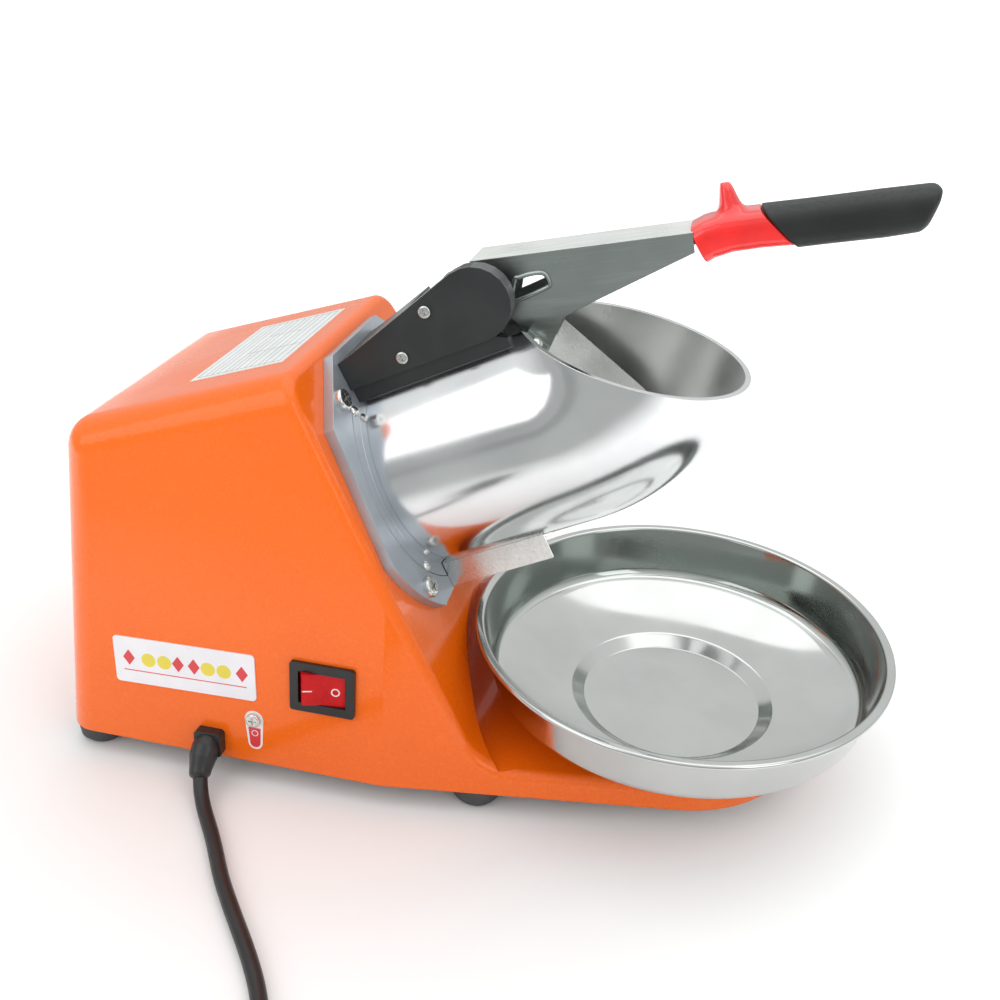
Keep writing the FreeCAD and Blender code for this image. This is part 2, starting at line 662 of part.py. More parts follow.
def motor_bolts():
    bolts = []
    for angle in MOTOR_EAR_ANGLES:
        bolt = join([rod(2.0, -97, -42), rod(3.6, -99.6, -96)])
        bolts.append(moved(bolt, *polar(MOTOR_EAR_RADIUS, angle), 0))
    return bolts


def mount_screws():
    return [moved(pan_screw(3.6, 2.4, 2.0, 7.9), *polar(30, a), -CUP_DEPTH) for a in (0, 90, 180, 270)]


# ---------------------------------------------------------------- electrics and trim
SWITCH_X, SWITCH_Z = 19.5, 60.1
ROCKER_PIVOT_Z = -3.0


def switch_bezel():
    frame = box(-15.5, 15.5, -12.8, 12.8, 0, 2.0)
    upright = [e for e in frame.Edges if abs(e.BoundBox.ZLength - 2.0) < 1e-6]
    frame = frame.makeFillet(1.5, upright)
    rear = box(-13.7, 13.7, -10.8, 10.8, -18, 0)
    well = box(-11.4, 11.4, -8.4, 8.4, -8, 3)
    return join([frame, rear]).cut(well)


def rocker():
    """Rocker tilted to off; its ends follow an arc about the pivot so that it can turn in the well."""
    outline = [(-11.5, -3.5), (-11.5, 5.4), (0, 1.4), (11.5, 0.2), (11.5, -2.5), (0, -4.5)]
    shape = prism_y(outline, -8.2, 8.2).common(rod_y(11.2, -9, 9, 0, ROCKER_PIVOT_Z))
    return shape.fuse(rod_y(1.5, -8.35, 8.35, 0, ROCKER_PIVOT_Z))


def switch_terminals():
    return [box(x - 0.4, x + 0.4, y - 2.4, y + 2.4, -27, -18) for x in (-8, 0) for y in (-4.5, 4.5)]


def earth_label():
    head = rod(4.6, 0.0, LABEL_THICK)
    foot = rod(3.6, 0.0, LABEL_THICK, 0.4, -13.0)
    waist = prism_z([(-4.6, 0), (4.6, 0), (4.0, -13), (-3.2, -13)], 0.0, LABEL_THICK)
    return join([head, foot, waist]).cut(rod(EARTH_SHAFT + 0.2, -1, 1))


EARTH_X, EARTH_Z = -14.8, 36.4
EARTH_SHAFT = 1.9
LABEL_THICK = 0.25


def badge():
    plate = box(-35.5, 35.5, -12.3, 12.3, 0, 0.6)
    upright = [e for e in plate.Edges if abs(e.BoundBox.ZLength - 0.6) < 1e-6]
    return turned(plate.makeFillet(2.0, upright), 1.5, V(0, 0, 1))


BADGE_X, BADGE_Z = -48.9, 58.2
LABEL_X = -32.6


def instruction_label():
    return box(-23.7, 23.7, -40, 40, 0, 0.3)


GROMMET_X, GROMMET_Z = -36.8, 21.0
CORD_RADIUS = 3.4


def cord_grommet():
    block = box(-6.8, 6.8, -6.4, 6.4, 0, 5)
    upright = [e for e in block.Edges if abs(e.BoundBox.ZLength - 5) < 1e-6]
    block = block.makeFillet(2.0, upright)
    neck = rod(5.0, -6, 0)
    boot = turned(Part.makeCone(5.6, 4.4, 9, V(0, 0, 0)), 55, V(1, 0, 0))
    boot = moved(boot, -1.5, -1.0, 2.0).cut(box(-20, 20, -20, 20, -20, 0))
    return join([block, neck, boot])


def cord_path():
    """Centre line of the cord from inside the housing to the mains plug."""
    lie = CORD_RADIUS + 0.3
    points = [(GROMMET_X, side_y(GROMMET_Z) + 14, GROMMET_Z), (GROMMET_X, side_y(GROMMET_Z), GROMMET_Z)]
    points += [(-37.6, -91.5, 18.0), (-37.4, -97, 13.0), (-35.2, -103, 8.0), (-31.0, -110, 4.9)]
    points += [(-22, -122, lie), (-13, -134.5, lie), (-4.5, -147, lie), (4, -158, lie), (14, -170, lie)]
    points += [(27, -186, lie), (38, -203, lie), (44, -219, lie + 2.5), (PLUG_X, PLUG_Y + 22, PLUG_Z)]
    return [V(*p) for p in points]


def power_cord():
    curve = Part.BSplineCurve()
    curve.interpolate(cord_path())
    edge = curve.toShape()
    start, direction = edge.valueAt(edge.FirstParameter), edge.tangentAt(edge.FirstParameter)
    profile = Part.Wire(Part.makeCircle(CORD_RADIUS, start, direction))
    return Part.Wire([edge]).makePipeShell([profile], True, True)


PLUG_X, PLUG_Y, PLUG_Z = 47.0, -262.0, 11.2


def plug_place(shape):
    """Plug lies on the table with its pins pointing away from the machine."""
    return moved(turned(shape, 90, V(1, 0, 0)), PLUG_X, PLUG_Y, PLUG_Z)


def plug_body():
    body = box(-15, 15, -11, 11, 0, 30)
    body = body.makeFillet(5.0, [e for e in body.Edges if abs(e.BoundBox.ZLength - 30) < 1e-6])
    return body.fuse(Part.makeCone(4.6, 8.5, 22, V(0, 0, -21)))


def plug_pins():
    blades = [box(x - 0.8, x + 0.8, -1.2, 5.2, 26, 48) for x in (-6.35, 6.35)]
    return blades + [rod(2.4, 26, 50, 0, -6.5)]


def capacitor():
    can = rod(14, 0, 50)
    return turned(can, 90, V(0, 1, 0))


CAN_X, CAN_Y, CAN_Z = -40.0, 42.0, 33.2


def capacitor_clamp():
    strap = ring(15.2, 14.0, -6, 6)
    strap = turned(strap, 90, V(0, 1, 0))
    foot = box(-6, 6, -24, 24, -18.2, -16.7).cut(rod(2.0, -30, 0, 0, 20)).cut(rod(2.0, -30, 0, 0, -20))
    web = box(-6, 6, -3, 3, -17, -14.3)
    return moved(join([strap, foot, web]), CAN_X + 25, CAN_Y, CAN_Z)


def clamp_screws():
    screws = [moved(pan_screw(3.2, 2.0, 2.0, 3.4), CAN_X + 25, CAN_Y + y, CAN_Z - 16.7) for y in (-20, 20)]
    return screws


def terminal_block():
    block = box(-8, 8, -22, 22, 0, 14)
    wells = [rod(2.2, 9, 15, x, y) for x in (-4, 4) for y in (-16, -8, 0, 8, 16)]
    return moved(block.cut(group(wells)), 52, 22, FOOT_HEIGHT + 3)


def bowl():
    rim, t = BOWL_RIM_Z, BOWL_SHEET
    floor = DECK_TOP + 0.1
    shelf, knuckle = floor + 5.0, floor + 17.5
    outer = [(0, floor), (44, floor), (45.5, floor + 0.7), (50.5, shelf - 0.6), (52, shelf), (64, shelf + 2.6)]
    outer += [(76, shelf + 6.3), (84, shelf + 9.5), (89.2, knuckle - 0.4), (92.2, knuckle + 3.4)]
    outer += [(93.4, knuckle + 7.0), (98.2, rim - t - 1.6)]
    outer += [(98.9, rim - t - 0.5), (100.4, rim - t - 0.2), (101.2, rim - t - 0.9), (101.3, rim - 2.6)]
    inner = [(102.0, rim - 2.6), (102.0, rim - 1.0), (101.0, rim), (98.6, rim), (97.6, rim - 0.6)]
    inner += [(97.2, rim - 2.0), (92.5, knuckle + 7.0), (91.4, knuckle + 3.9), (88.6, knuckle + 0.3)]
    inner += [(83.6, shelf + 9.5 + t), (75.6, shelf + 6.3 + t), (63.7, shelf + 2.6 + t), (51.5, shelf + t)]
    inner += [(49.8, shelf + t - 0.5), (44.9, floor + 1.5), (43.6, floor + t), (0, floor + t)]
    return moved(revolve_z(outer + inner), NOSE_CENTRE_X, 0, 0)


def wiring():
    runs = [
        [(16, -60, 58), (14, -40, 40), (30, -10, 36), (48, 8, 30.4)],
        [(22, -60, 64), (30, -38, 50), (40, -14, 34), (48, 24, 30.4)],
        [(GROMMET_X, -66, GROMMET_Z), (-8, -44, 20), (30, 12, 20), (42.6, 16, 20)],
    ]
    return [join(wire_along(run, 1.3)) for run in runs]


# ---------------------------------------------------------------- assembly
def cut_all(shape, tools):
    for tool in tools:
        shape = shape.cut(tool)
    return shape


def build_mill(nodes):
    ring_bolts = [in_mill(s) for s in ring_screw_solids()]
    flange_bolts = [in_mill(s) for s in flange_screws()]
    hinge_bolts = [in_mill(s) for s in bracket_screws()]
    motor_bolts_in = [in_mill(s) for s in mount_screws()]
    through = [in_mill(s) for s in motor_bolts()]
    casting = cut_all(in_mill(ring_casting()), ring_bolts + flange_bolts + hinge_bolts + motor_bolts_in)
    chute = in_mill(ice_chute())
    nodes["front_casting"] = casting
    nodes["ring_screws"] = group(ring_bolts)
    nodes["hopper"] = cut_all(in_mill(hopper()), flange_bolts)
    nodes["hopper_screws"] = group(flange_bolts)
    nodes["ice_chute"] = chute
    blade_bolts = [in_mill(s) for s in blade_screws()]
    nodes["cutter_disc"] = cut_all(in_mill(cutter_disc()), blade_bolts)
    nodes["cutter_blades"] = group([cut_all(in_mill(blade_body(turn)), blade_bolts) for turn in (0, 180)])
    nodes["blade_screws"] = group(blade_bolts)
    nodes["disc_nut"] = in_mill(disc_nut())
    nodes["drive_shaft"] = in_mill(drive_shaft())
    nodes["shaft_seal"] = in_mill(ring(11.0, SHAFT_RADIUS + RUN_GAP, -CUP_DEPTH - CUP_WALL, -CUP_DEPTH))
    nodes["rotor_core"] = in_mill(rotor_core())
    nodes["cooling_fan"] = in_mill(cooling_fan())
    nodes["front_bearing"] = in_mill(ring(16.0, SHAFT_RADIUS + RUN_GAP, -44, -34))
    nodes["rear_bearing"] = in_mill(ring(16.0, SHAFT_RADIUS + RUN_GAP, -106, -96))
    nodes["motor_front_bell"] = cut_all(in_mill(motor_front_bell()), motor_bolts_in + through)
    nodes["motor_rear_bell"] = cut_all(in_mill(motor_rear_bell()), through)
    nodes["stator_core"] = in_mill(stator_core())
    nodes["stator_windings"] = group([in_mill(s) for s in stator_windings()])
    nodes["motor_bolts"] = group(through)
    nodes["motor_mount_screws"] = group(motor_bolts_in)
    return ring_bolts, hinge_bolts


def build_hinge(nodes, hinge_bolts):
    side_bolts = [in_mill(s) for s in cover_screws()]
    pin, clips = in_mill(hinge_pin()), [in_mill(s) for s in pin_clips()]
    switch = in_mill(micro_switch())
    nodes["hinge_bracket"] = cut_all(in_mill(hinge_bracket()), side_bolts + hinge_bolts + [switch])
    nodes["bracket_screws"] = group(hinge_bolts)
    nodes["hinge_cover"] = cut_all(in_mill(hinge_cover()), side_bolts)
    nodes["cover_screws"] = group(side_bolts)
    nodes["hinge_pin"] = pin
    nodes["pin_clips"] = group(clips)
    nodes["lever_spring"] = in_lever(lever_spring())
    nodes["micro_switch"] = switch
    nodes["micro_plunger"] = in_mill(micro_plunger())


def build_lever(nodes):
    rivets = [in_lever(s) for s in pusher_rivets()]
    channel = in_lever(lever_channel())
    nodes["lever_channel"] = cut_all(channel, rivets)
    nodes["pusher_plate"] = cut_all(in_lever(pusher_plate()), rivets)
    nodes["pusher_rivets"] = group(rivets)
    nodes["grip_collar"] = in_lever(grip_collar()).cut(channel)
    nodes["grip_sleeve"] = in_lever(grip_sleeve()).cut(channel)


def build_base(nodes, block, ring_bolts):
    plate_bolts, foot_bolts = base_screws(), foot_screws()
    grommet_hole = on_side(rod(5.0, -6, 6), GROMMET_X, GROMMET_Z)
    switch_hole = on_side(box(-13.7, 13.7, -10.8, 10.8, -18, 6), SWITCH_X, SWITCH_Z)
    earth_hole = on_side(rod(EARTH_SHAFT + 0.2, -6, 6), EARTH_X, EARTH_Z)
    earth_bolt = on_side(moved(pan_screw(3.6, 2.2, EARTH_SHAFT, 9), 0, 0, LABEL_THICK), EARTH_X, EARTH_Z)
    label = on_side(earth_label(), EARTH_X, EARTH_Z)
    cord = power_cord()
    shell = cut_all(housing(block), ring_bolts + plate_bolts + [grommet_hole, switch_hole, earth_hole])
    nodes["housing"] = shell
    nodes["base_plate"] = cut_all(base_plate(), plate_bolts + foot_bolts)
    nodes["base_screws"] = group(plate_bolts)
    nodes["rubber_feet"] = group([cut_all(foot, foot_bolts) for foot in feet()])
    nodes["foot_screws"] = group(foot_bolts)
    nodes["foot_nuts"] = group(foot_nuts())
    nodes["earth_screw"] = earth_bolt
    nodes["earth_label"] = label
    nodes["badge_plate"] = on_side(badge(), BADGE_X, BADGE_Z)
    nodes["instruction_label"] = on_top(instruction_label(), LABEL_X, 0.0)
    nodes["cord_grommet"] = on_side(cord_grommet(), GROMMET_X, GROMMET_Z).cut(cord)
    pins = [plug_place(s) for s in plug_pins()]
    plug = cut_all(plug_place(plug_body()), pins)
    nodes["power_cord"] = cord.cut(plug_place(plug_body()))
    nodes["mains_plug"] = plug
    nodes["plug_pins"] = group(pins)


def build_electrics(nodes):
    terminals = [on_side(s, SWITCH_X, SWITCH_Z) for s in switch_terminals()]
    pivot = rod_y(1.5 + RUN_GAP, -8.5, 8.5, 0, ROCKER_PIVOT_Z)
    nodes["switch_bezel"] = on_side(switch_bezel().cut(pivot), SWITCH_X, SWITCH_Z)
    nodes["switch_rocker"] = on_side(rocker(), SWITCH_X, SWITCH_Z)
    nodes["switch_terminals"] = group(terminals)
    nodes["run_capacitor"] = moved(capacitor(), CAN_X, CAN_Y, CAN_Z)
    clamp_bolts = clamp_screws()
    nodes["capacitor_clamp"] = cut_all(capacitor_clamp(), clamp_bolts)
    nodes["clamp_screws"] = group(clamp_bolts)
    nodes["base_plate"] = cut_all(nodes["base_plate"], clamp_bolts)
    nodes["terminal_block"] = terminal_block()
    nodes["internal_wiring"] = group(wiring())
    nodes["bowl"] = bowl()


def build():
    nodes = {}
    ring_bolts, hinge_bolts = build_mill(nodes)
    build_hinge(nodes, hinge_bolts)
    build_lever(nodes)
    build_base(nodes, rounded_body(), ring_bolts + hinge_bolts)
    build_electrics(nodes)
    for node, shape in nodes.items():
        save(node, shape)


if __name__ == "__main__":
    build()
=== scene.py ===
import bpy
import bmesh
import json
import math
from mathutils import Matrix, Vector


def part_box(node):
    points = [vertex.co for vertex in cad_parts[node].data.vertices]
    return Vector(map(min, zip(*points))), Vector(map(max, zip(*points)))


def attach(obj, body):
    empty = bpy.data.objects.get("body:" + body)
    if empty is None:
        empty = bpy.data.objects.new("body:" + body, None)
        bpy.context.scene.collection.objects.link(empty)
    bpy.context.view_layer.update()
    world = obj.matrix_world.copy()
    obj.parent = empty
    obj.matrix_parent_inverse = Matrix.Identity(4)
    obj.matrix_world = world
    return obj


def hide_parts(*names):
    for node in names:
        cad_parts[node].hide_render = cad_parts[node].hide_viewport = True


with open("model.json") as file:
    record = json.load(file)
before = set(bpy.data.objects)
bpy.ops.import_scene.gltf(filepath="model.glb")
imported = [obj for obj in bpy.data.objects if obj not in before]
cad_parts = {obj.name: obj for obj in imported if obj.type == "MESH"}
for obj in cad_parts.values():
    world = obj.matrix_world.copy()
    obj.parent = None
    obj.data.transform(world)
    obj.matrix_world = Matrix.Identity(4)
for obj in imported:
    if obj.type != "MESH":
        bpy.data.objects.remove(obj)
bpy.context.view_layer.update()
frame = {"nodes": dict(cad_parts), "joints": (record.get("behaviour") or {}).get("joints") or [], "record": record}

# ---------------------------------------------------------------- sizes in millimetres, angles in degrees
MM = 0.001
MILL_TILT = 27.0
LEVER_ANGLE = 12.9
SIDE_DRAFT = 5.0
TOP_SLOPE = 18.6
SHEET = 0.8
INK = 0.06
BARREL_OUTER, BARREL_INNER = 51.5, 49.0
BARREL_STRAIGHT, ELBOW_RADIUS, ELBOW_ANGLE = 77.5, 57.0, 43.3

JOINTS = {joint["name"]: joint for joint in frame["joints"]}
NODES = frame["nodes"]


# ---------------------------------------------------------------- places taken from the frame
def axes_matrix(x_axis, y_axis, z_axis, origin):
    """Matrix in metres whose local unit is one millimetre."""
    turn = Matrix((x_axis, y_axis, z_axis)).transposed().to_4x4()
    return Matrix.Translation(origin) @ turn @ Matrix.Scale(MM, 4)


def slanted(angle):
    """Unit vector in the middle plane, at an angle above forwards."""
    a = math.radians(angle)
    return Vector((math.cos(a), 0, math.sin(a)))


def centre(node):
    """Middle of a node's box, in metres."""
    low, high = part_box(node)
    return (low + high) / 2


def pivot(joint):
    """A joint's place, in metres."""
    return Vector(JOINTS[joint]["pos_m"])


FORWARDS = Vector((1, 0, 0))
ACROSS = Vector((0, 1, 0))
MILL = axes_matrix(-slanted(90 + MILL_TILT), ACROSS, slanted(MILL_TILT), pivot("cutter_spin"))
LEVER = axes_matrix(slanted(LEVER_ANGLE), ACROSS, slanted(90 + LEVER_ANGLE), pivot("lever_hinge"))
DRAFT = math.radians(SIDE_DRAFT)
WALL_UP = Vector((0, math.sin(DRAFT), math.cos(DRAFT)))
WALL_OUT = Vector((0, -math.cos(DRAFT), math.sin(DRAFT)))


def panel(node, height):
    """Frame on the switch side: X forwards, Y up the wall, Z outwards, a height above a node's centre."""
    return axes_matrix(FORWARDS, WALL_UP, WALL_OUT, centre(node) + WALL_OUT * height * MM)


# ---------------------------------------------------------------- material building
class Look:
    """A Principled material, with the node chains that several finishes share."""

    def __init__(self, name, colour, metallic, roughness):
        self.material = bpy.data.materials.new(name)
        self.material.use_nodes = True
        self.nodes = self.material.node_tree.nodes
        self.links = self.material.node_tree.links
        self.shader = self.nodes["Principled BSDF"]
        self.shader.inputs["Base Color"].default_value = (*colour, 1.0)
        self.shader.inputs["Metallic"].default_value = metallic
        self.shader.inputs["Roughness"].default_value = roughness
        self.colour = (*colour, 1.0)
        self.place = self.nodes.new("ShaderNodeTexCoord").outputs["Object"]
        self.normal = None

    def set(self, **values):
        for key, value in values.items():
            self.shader.inputs[key.replace("_", " ")].default_value = value
        return self

    def node(self, kind, **settings):
        made = self.nodes.new(kind)
        for key, value in settings.items():
            setattr(made, key, value)
        return made

    def join(self, source, node, socket):
        self.links.new(source, node.inputs[socket])

    def stretched(self, scale, turn):
        """Object coordinates turned and then scaled, for grain that runs in one direction."""
        mapping = self.node("ShaderNodeMapping")
        mapping.vector_type = "TEXTURE"
        mapping.inputs["Rotation"].default_value = turn
        mapping.inputs["Scale"].default_value = [1.0 / s for s in scale]
        self.join(self.place, mapping, "Vector")
        return mapping.outputs["Vector"]

    def noise(self, scale, detail=3.0, vector=None):
        texture = self.node("ShaderNodeTexNoise")
        texture.inputs["Scale"].default_value = scale
        texture.inputs["Detail"].default_value = detail
        self.join(vector or self.place, texture, "Vector")
        return texture.outputs["Fac"]

    def spread(self, value, low, high, start=0.3, end=0.7):
        span = self.node("ShaderNodeMapRange")
        for socket, number in (("From Min", start), ("From Max", end), ("To Min", low), ("To Max", high)):
            span.inputs[socket].default_value = number
        self.join(value, span, "Value")
        return span.outputs["Result"]

    def mix(self, factor, first, second):
        """Colour mix; each colour is a tuple or an output."""
        blend = self.node("ShaderNodeMix", data_type="RGBA")
        self.join(factor, blend, 0)
        for index, colour in ((6, first), (7, second)):
            if isinstance(colour, tuple):
                blend.inputs[index].default_value = colour
            else:
                self.links.new(colour, blend.inputs[index])
        return blend.outputs[2]

    def tint(self, value, other, low=0.35, high=0.65):
        """Colour drifts towards another colour where value is high."""
        current = self.shader.inputs["Base Color"]
        first = current.links[0].from_socket if current.links else self.colour
        mask = self.spread(value, 0.0, 1.0, low, high)
        self.links.new(self.mix(mask, first, (*other, 1.0)), current)
        return self

    def rough(self, value, low, high):
        self.join(self.spread(value, low, high), self.shader, "Roughness")
        return self

    def round_edges(self, radius):
        edge = self.node("ShaderNodeBevel", samples=6)
        edge.inputs["Radius"].default_value = radius * MM
        self.normal = edge.outputs["Normal"]
        self.join(self.normal, self.shader, "Normal")
        return self

    def bump(self, value, height):
        """Relief of a height in millimetres, on top of what is there."""
        relief = self.node("ShaderNodeBump")
        relief.inputs["Distance"].default_value = height * MM
        relief.inputs["Strength"].default_value = 1.0
        self.join(value, relief, "Height")
        if self.normal:
            self.join(self.normal, relief, "Normal")
        self.normal = relief.outputs["Normal"]
        self.join(self.normal, self.shader, "Normal")
        return self


def shade(colour, factor):
    """A colour made darker or lighter."""
    return tuple(factor * c for c in colour)


def painted_orange():
    """Enamel under a clear coat, with faint cloudiness and orange peel."""
    look = Look("orange_enamel", (0.92, 0.145, 0.003), 0.0, 0.28)
    look.set(Coat_Weight=0.6, Coat_Roughness=0.06, Coat_IOR=1.45, Specular_IOR_Level=0.25)
    look.tint(look.noise(9.0, 2.0), (0.89, 0.130, 0.002))
    look.tint(look.noise(900.0, 2.0), (0.95, 0.165, 0.005), 0.45, 0.75)
    look.rough(look.noise(30.0), 0.24, 0.34)
    look.round_edges(0.8)
    return look.bump(look.noise(260.0, 2.0), 0.02).material


def satin_casting():
    """Painted alloy casting."""
    look = Look("satin_casting", (0.43, 0.47, 0.52), 0.65, 0.42)
    look.tint(look.noise(45.0, 3.0), (0.50, 0.54, 0.59))
    look.rough(look.noise(120.0), 0.34, 0.48)
    look.round_edges(0.5)
    return look.bump(look.noise(1400.0, 3.0), 0.015).material


def hopper_sheet(name, colour, roughness, relief):
    """Stainless sheet, polished or brushed around the barrel."""
    look = Look(name, colour, 1.0, roughness)
    grain = look.stretched((900.0, 60.0, 60.0), (0.0, -math.radians(MILL_TILT), 0.0))
    look.tint(look.noise(24.0, 4.0), shade(colour, 0.88))
    look.rough(look.noise(14.0, 5.0), roughness * 0.6, roughness * 1.5)
    look.round_edges(0.4)
    return look.bump(look.noise(1.0, 4.0, grain), relief).material


def steel(name, colour, low, high):
    """Plain metal for fasteners and small parts, with a roughness range."""
    grain = 600.0
    look = Look(name, colour, 1.0, (low + high) / 2)
    look.tint(look.noise(80.0), shade(colour, 0.94))
    look.rough(look.noise(grain), low, high)
    look.round_edges(0.2)
    return look.bump(look.noise(grain), 0.002).material


def lever_steel(name, colour, metallic):
    """Bent plate with scratches along the lever."""
    look = Look(name, colour, metallic, 0.30)
    grain = look.stretched((35.0, 700.0, 700.0), (0.0, -math.radians(LEVER_ANGLE), 0.0))
    look.tint(look.noise(28.0, 5.0), shade(colour, 0.86))
    look.tint(look.noise(1.0, 4.0, grain), shade(colour, 1.12), 0.5, 0.8)
    look.rough(look.noise(40.0, 5.0), 0.24, 0.42)
    look.round_edges(0.5)
    return look.bump(look.noise(1.0, 4.0, grain), 0.006).material


def spun_bowl(middle):
    """Polished sheet with fine rings about the bowl's axis, with a painted dark reflection on the wall's inner
    side.
    """
    look = Look("spun_bowl", (0.62, 0.63, 0.62), 1.0, 0.12)
    shift = look.node("ShaderNodeVectorMath", operation="SUBTRACT")
    shift.inputs[1].default_value = (middle.x, middle.y, 0.0)
    look.join(look.place, shift, 0)
    flat = look.node("ShaderNodeVectorMath", operation="MULTIPLY")
    flat.inputs[1].default_value = (1.0, 1.0, 0.0)
    look.join(shift.outputs[0], flat, 0)
    reach = look.node("ShaderNodeVectorMath", operation="LENGTH")
    look.join(flat.outputs[0], reach, 0)
    radial = look.node("ShaderNodeCombineXYZ")
    look.join(reach.outputs["Value"], radial, "X")
    rings = look.noise(2600.0, 2.0, radial.outputs[0])
    look.tint(look.noise(30.0, 4.0), (0.57, 0.58, 0.57))
    # Painted dark reflection: faces whose normal points in towards the bowl's axis get a darker grey-green colour.
    facing = look.node("ShaderNodeVectorMath", operation="DOT_PRODUCT")
    look.join(flat.outputs[0], facing, 0)
    look.join(look.node("ShaderNodeNewGeometry").outputs["Normal"], facing, 1)
    slope_start, wall_start = -0.055, -0.080
    look.tint(facing.outputs["Value"], (0.40, 0.43, 0.41), slope_start, wall_start)
    look.rough(look.noise(20.0, 4.0), 0.08, 0.18)
    return look.bump(rings, 0.0015).material


def moulded(name, colour, low, high, grain, relief, **extra):
    """Moulded plastic or rubber with a fine surface grain."""
    look = Look(name, colour, 0.0, (low + high) / 2)
    look.set(**extra)
    lighter, lift = 1.25, 0.002
    look.tint(look.noise(60.0), tuple(min(1.0, c * lighter + lift) for c in colour))
    look.rough(look.noise(grain * 0.3), low, high)
    look.round_edges(0.4)
    return look.bump(look.noise(grain, 2.0), relief).material


def printed_paper(name, colour):
    """Laminated paper or printing ink."""
    look = Look(name, colour, 0.0, 0.35)
    look.set(Coat_Weight=0.5, Coat_Roughness=0.15)
    look.tint(look.noise(70.0), shade(colour, 0.94))
    look.rough(look.noise(200.0), 0.3, 0.42)
    return look.bump(look.noise(900.0), 0.004).material


# ---------------------------------------------------------------- mesh building
def blend_number(t, start, end):
    """Value a fraction t of the way from start to end."""
    return start + (end - start) * t


def add_mesh(name, verts, faces, body, material):
    """Mesh object from corners in metres, riding on a body."""
    data = bpy.data.meshes.new(name)
    data.from_pydata([tuple(v) for v in verts], [], faces)
    data.validate()
    piece = bpy.data.objects.new(name, data)
    bpy.context.scene.collection.objects.link(piece)
    work = bmesh.new()
    work.from_mesh(data)
    bmesh.ops.recalc_face_normals(work, faces=work.faces)
    work.to_mesh(data)
    work.free()
    data.materials.append(material)
    for polygon in data.polygons:
        polygon.use_smooth = True
    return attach(piece, body)


def arc(x, z, radius, start, end, steps):
    """Points on an arc in the profile plane, angles in degrees."""
    points = []
    for i in range(steps + 1):
        a = math.radians(blend_number(i / steps, start, end))
        points.append((x + radius * math.cos(a), z + radius * math.sin(a)))
    return points


def lathe(name, profile, place, body, material, segments):
    """Closed profile of (radius, height) turned about the local Z axis; radius 0 closes at the axis."""
    verts, faces, rows = [], [], []
    on_axis = 1e-6
    for radius, height in profile:
        if radius < on_axis:
            rows.append([len(verts)] * segments)
            verts.append(place @ Vector((0, 0, height)))
            continue
        rows.append(list(range(len(verts), len(verts) + segments)))
        for i in range(segments):
            a = 2 * math.pi * i / segments
            verts.append(place @ Vector((radius * math.cos(a), radius * math.sin(a), height)))
    for first, second in zip(rows, rows[1:] + rows[:1]):
        for i in range(segments):
            j = (i + 1) % segments
            corners = [first[i], first[j], second[j], second[i]]
            kept = [c for n, c in enumerate(corners) if c != corners[n - 1]]
            if len(set(kept)) >= 3:
                faces.append(kept)
    return add_mesh(name, verts, faces, body, material)


def loft(name, sections, body, material, closed_ends=True):
    """Skin through rings of points, with the end rings closed."""
    count = len(sections[0])
    verts = [p for ring in sections for p in ring]
    faces = []
    for r in range(len(sections) - 1):
        for i in range(count):
            j = (i + 1) % count
            faces.append([r * count + i, r * count + j, (r + 1) * count + j, (r + 1) * count + i])
    if closed_ends:
        faces.append(list(range(count))[::-1])
        faces.append([(len(sections) - 1) * count + i for i in range(count)])
    return add_mesh(name, verts, faces, body, material)


def tube(name, path, radii, body, material, sides, closed=False):
    """Round bar through points in metres; radii are millimetres, one for each point."""
    sections = []
    side = None
    last = len(path) - 1
    for index, (point, radius) in enumerate(zip(path, radii)):
        before = path[index - 1] if index or closed else path[0]
        after = path[(index + 1) % len(path)] if index < last or closed else path[last]
        along = (after - before).normalized()
        if side is None:
            side = along.orthogonal().normalized()
        side = (side - along * side.dot(along)).normalized()
        other = along.cross(side)
        ring = []
        for step in range(sides):
            a = 2 * math.pi * step / sides
            ring.append(point + (side * math.cos(a) + other * math.sin(a)) * radius * MM)
        sections.append(ring)
    if closed:
        sections.append(sections[0])
    return loft(name, sections, body, material, not closed)


def smooth_path(points, steps):
    """Catmull-Rom curve through points."""
    ends = [points[0] * 2 - points[1]] + points + [points[-1] * 2 - points[-2]]
    path = []
    for a, b, c, d in zip(ends, ends[1:], ends[2:], ends[3:]):
        for step in range(steps):
            t = step / steps
            bend = (a * 2 - b * 5 + c * 4 - d) * t * t + (b * 3 - a - c * 3 + d) * t ** 3
            path.append((b * 2 + (c - a) * t + bend) * 0.5)
    return path + [points[-1]]


def inlay(name, outline, place, low, high, body, material):
    """Flat printed or moulded mark: an outline in panel coordinates, from one height to another."""
    rings = [[place @ Vector((x, y, z)) for x, y in outline] for z in (low, high)]
    piece = loft(name, rings, body, material)
    for polygon in piece.data.polygons:
        polygon.use_smooth = False
    return piece


def bar(x0, y0, x1, y1, width):
    """Outline of a straight stroke between two points."""
    run = Vector((x1 - x0, y1 - y0)).normalized() * width / 2
    near, far = Vector((x0, y0)), Vector((x1, y1))
    side = Vector((-run.y, run.x))
    return [near + side, far + side, far - side, near - side]


def along_polyline(points, t):
    """Point at a fraction of the way, each stretch taking the same share."""
    place = t * (len(points) - 1)
    index = min(int(place), len(points) - 2)
    a, b = points[index], points[index + 1]
    return Vector((blend_number(place - index, a[0], b[0]), 0, blend_number(place - index, a[1], b[1])))


def along_polyline_number(points, t):
    """Value at t from (t, value) pairs in rising order."""
    for (t0, v0), (t1, v1) in zip(points, points[1:]):
        if t <= t1:
            return blend_number((t - t0) / (t1 - t0), v0, v1)
    return points[-1][1]


def annulus(inner, outer, low, high):
    """Rectangular lathe profile of a flat ring."""
    return [(inner, low), (outer, low), (outer, high), (inner, high)]


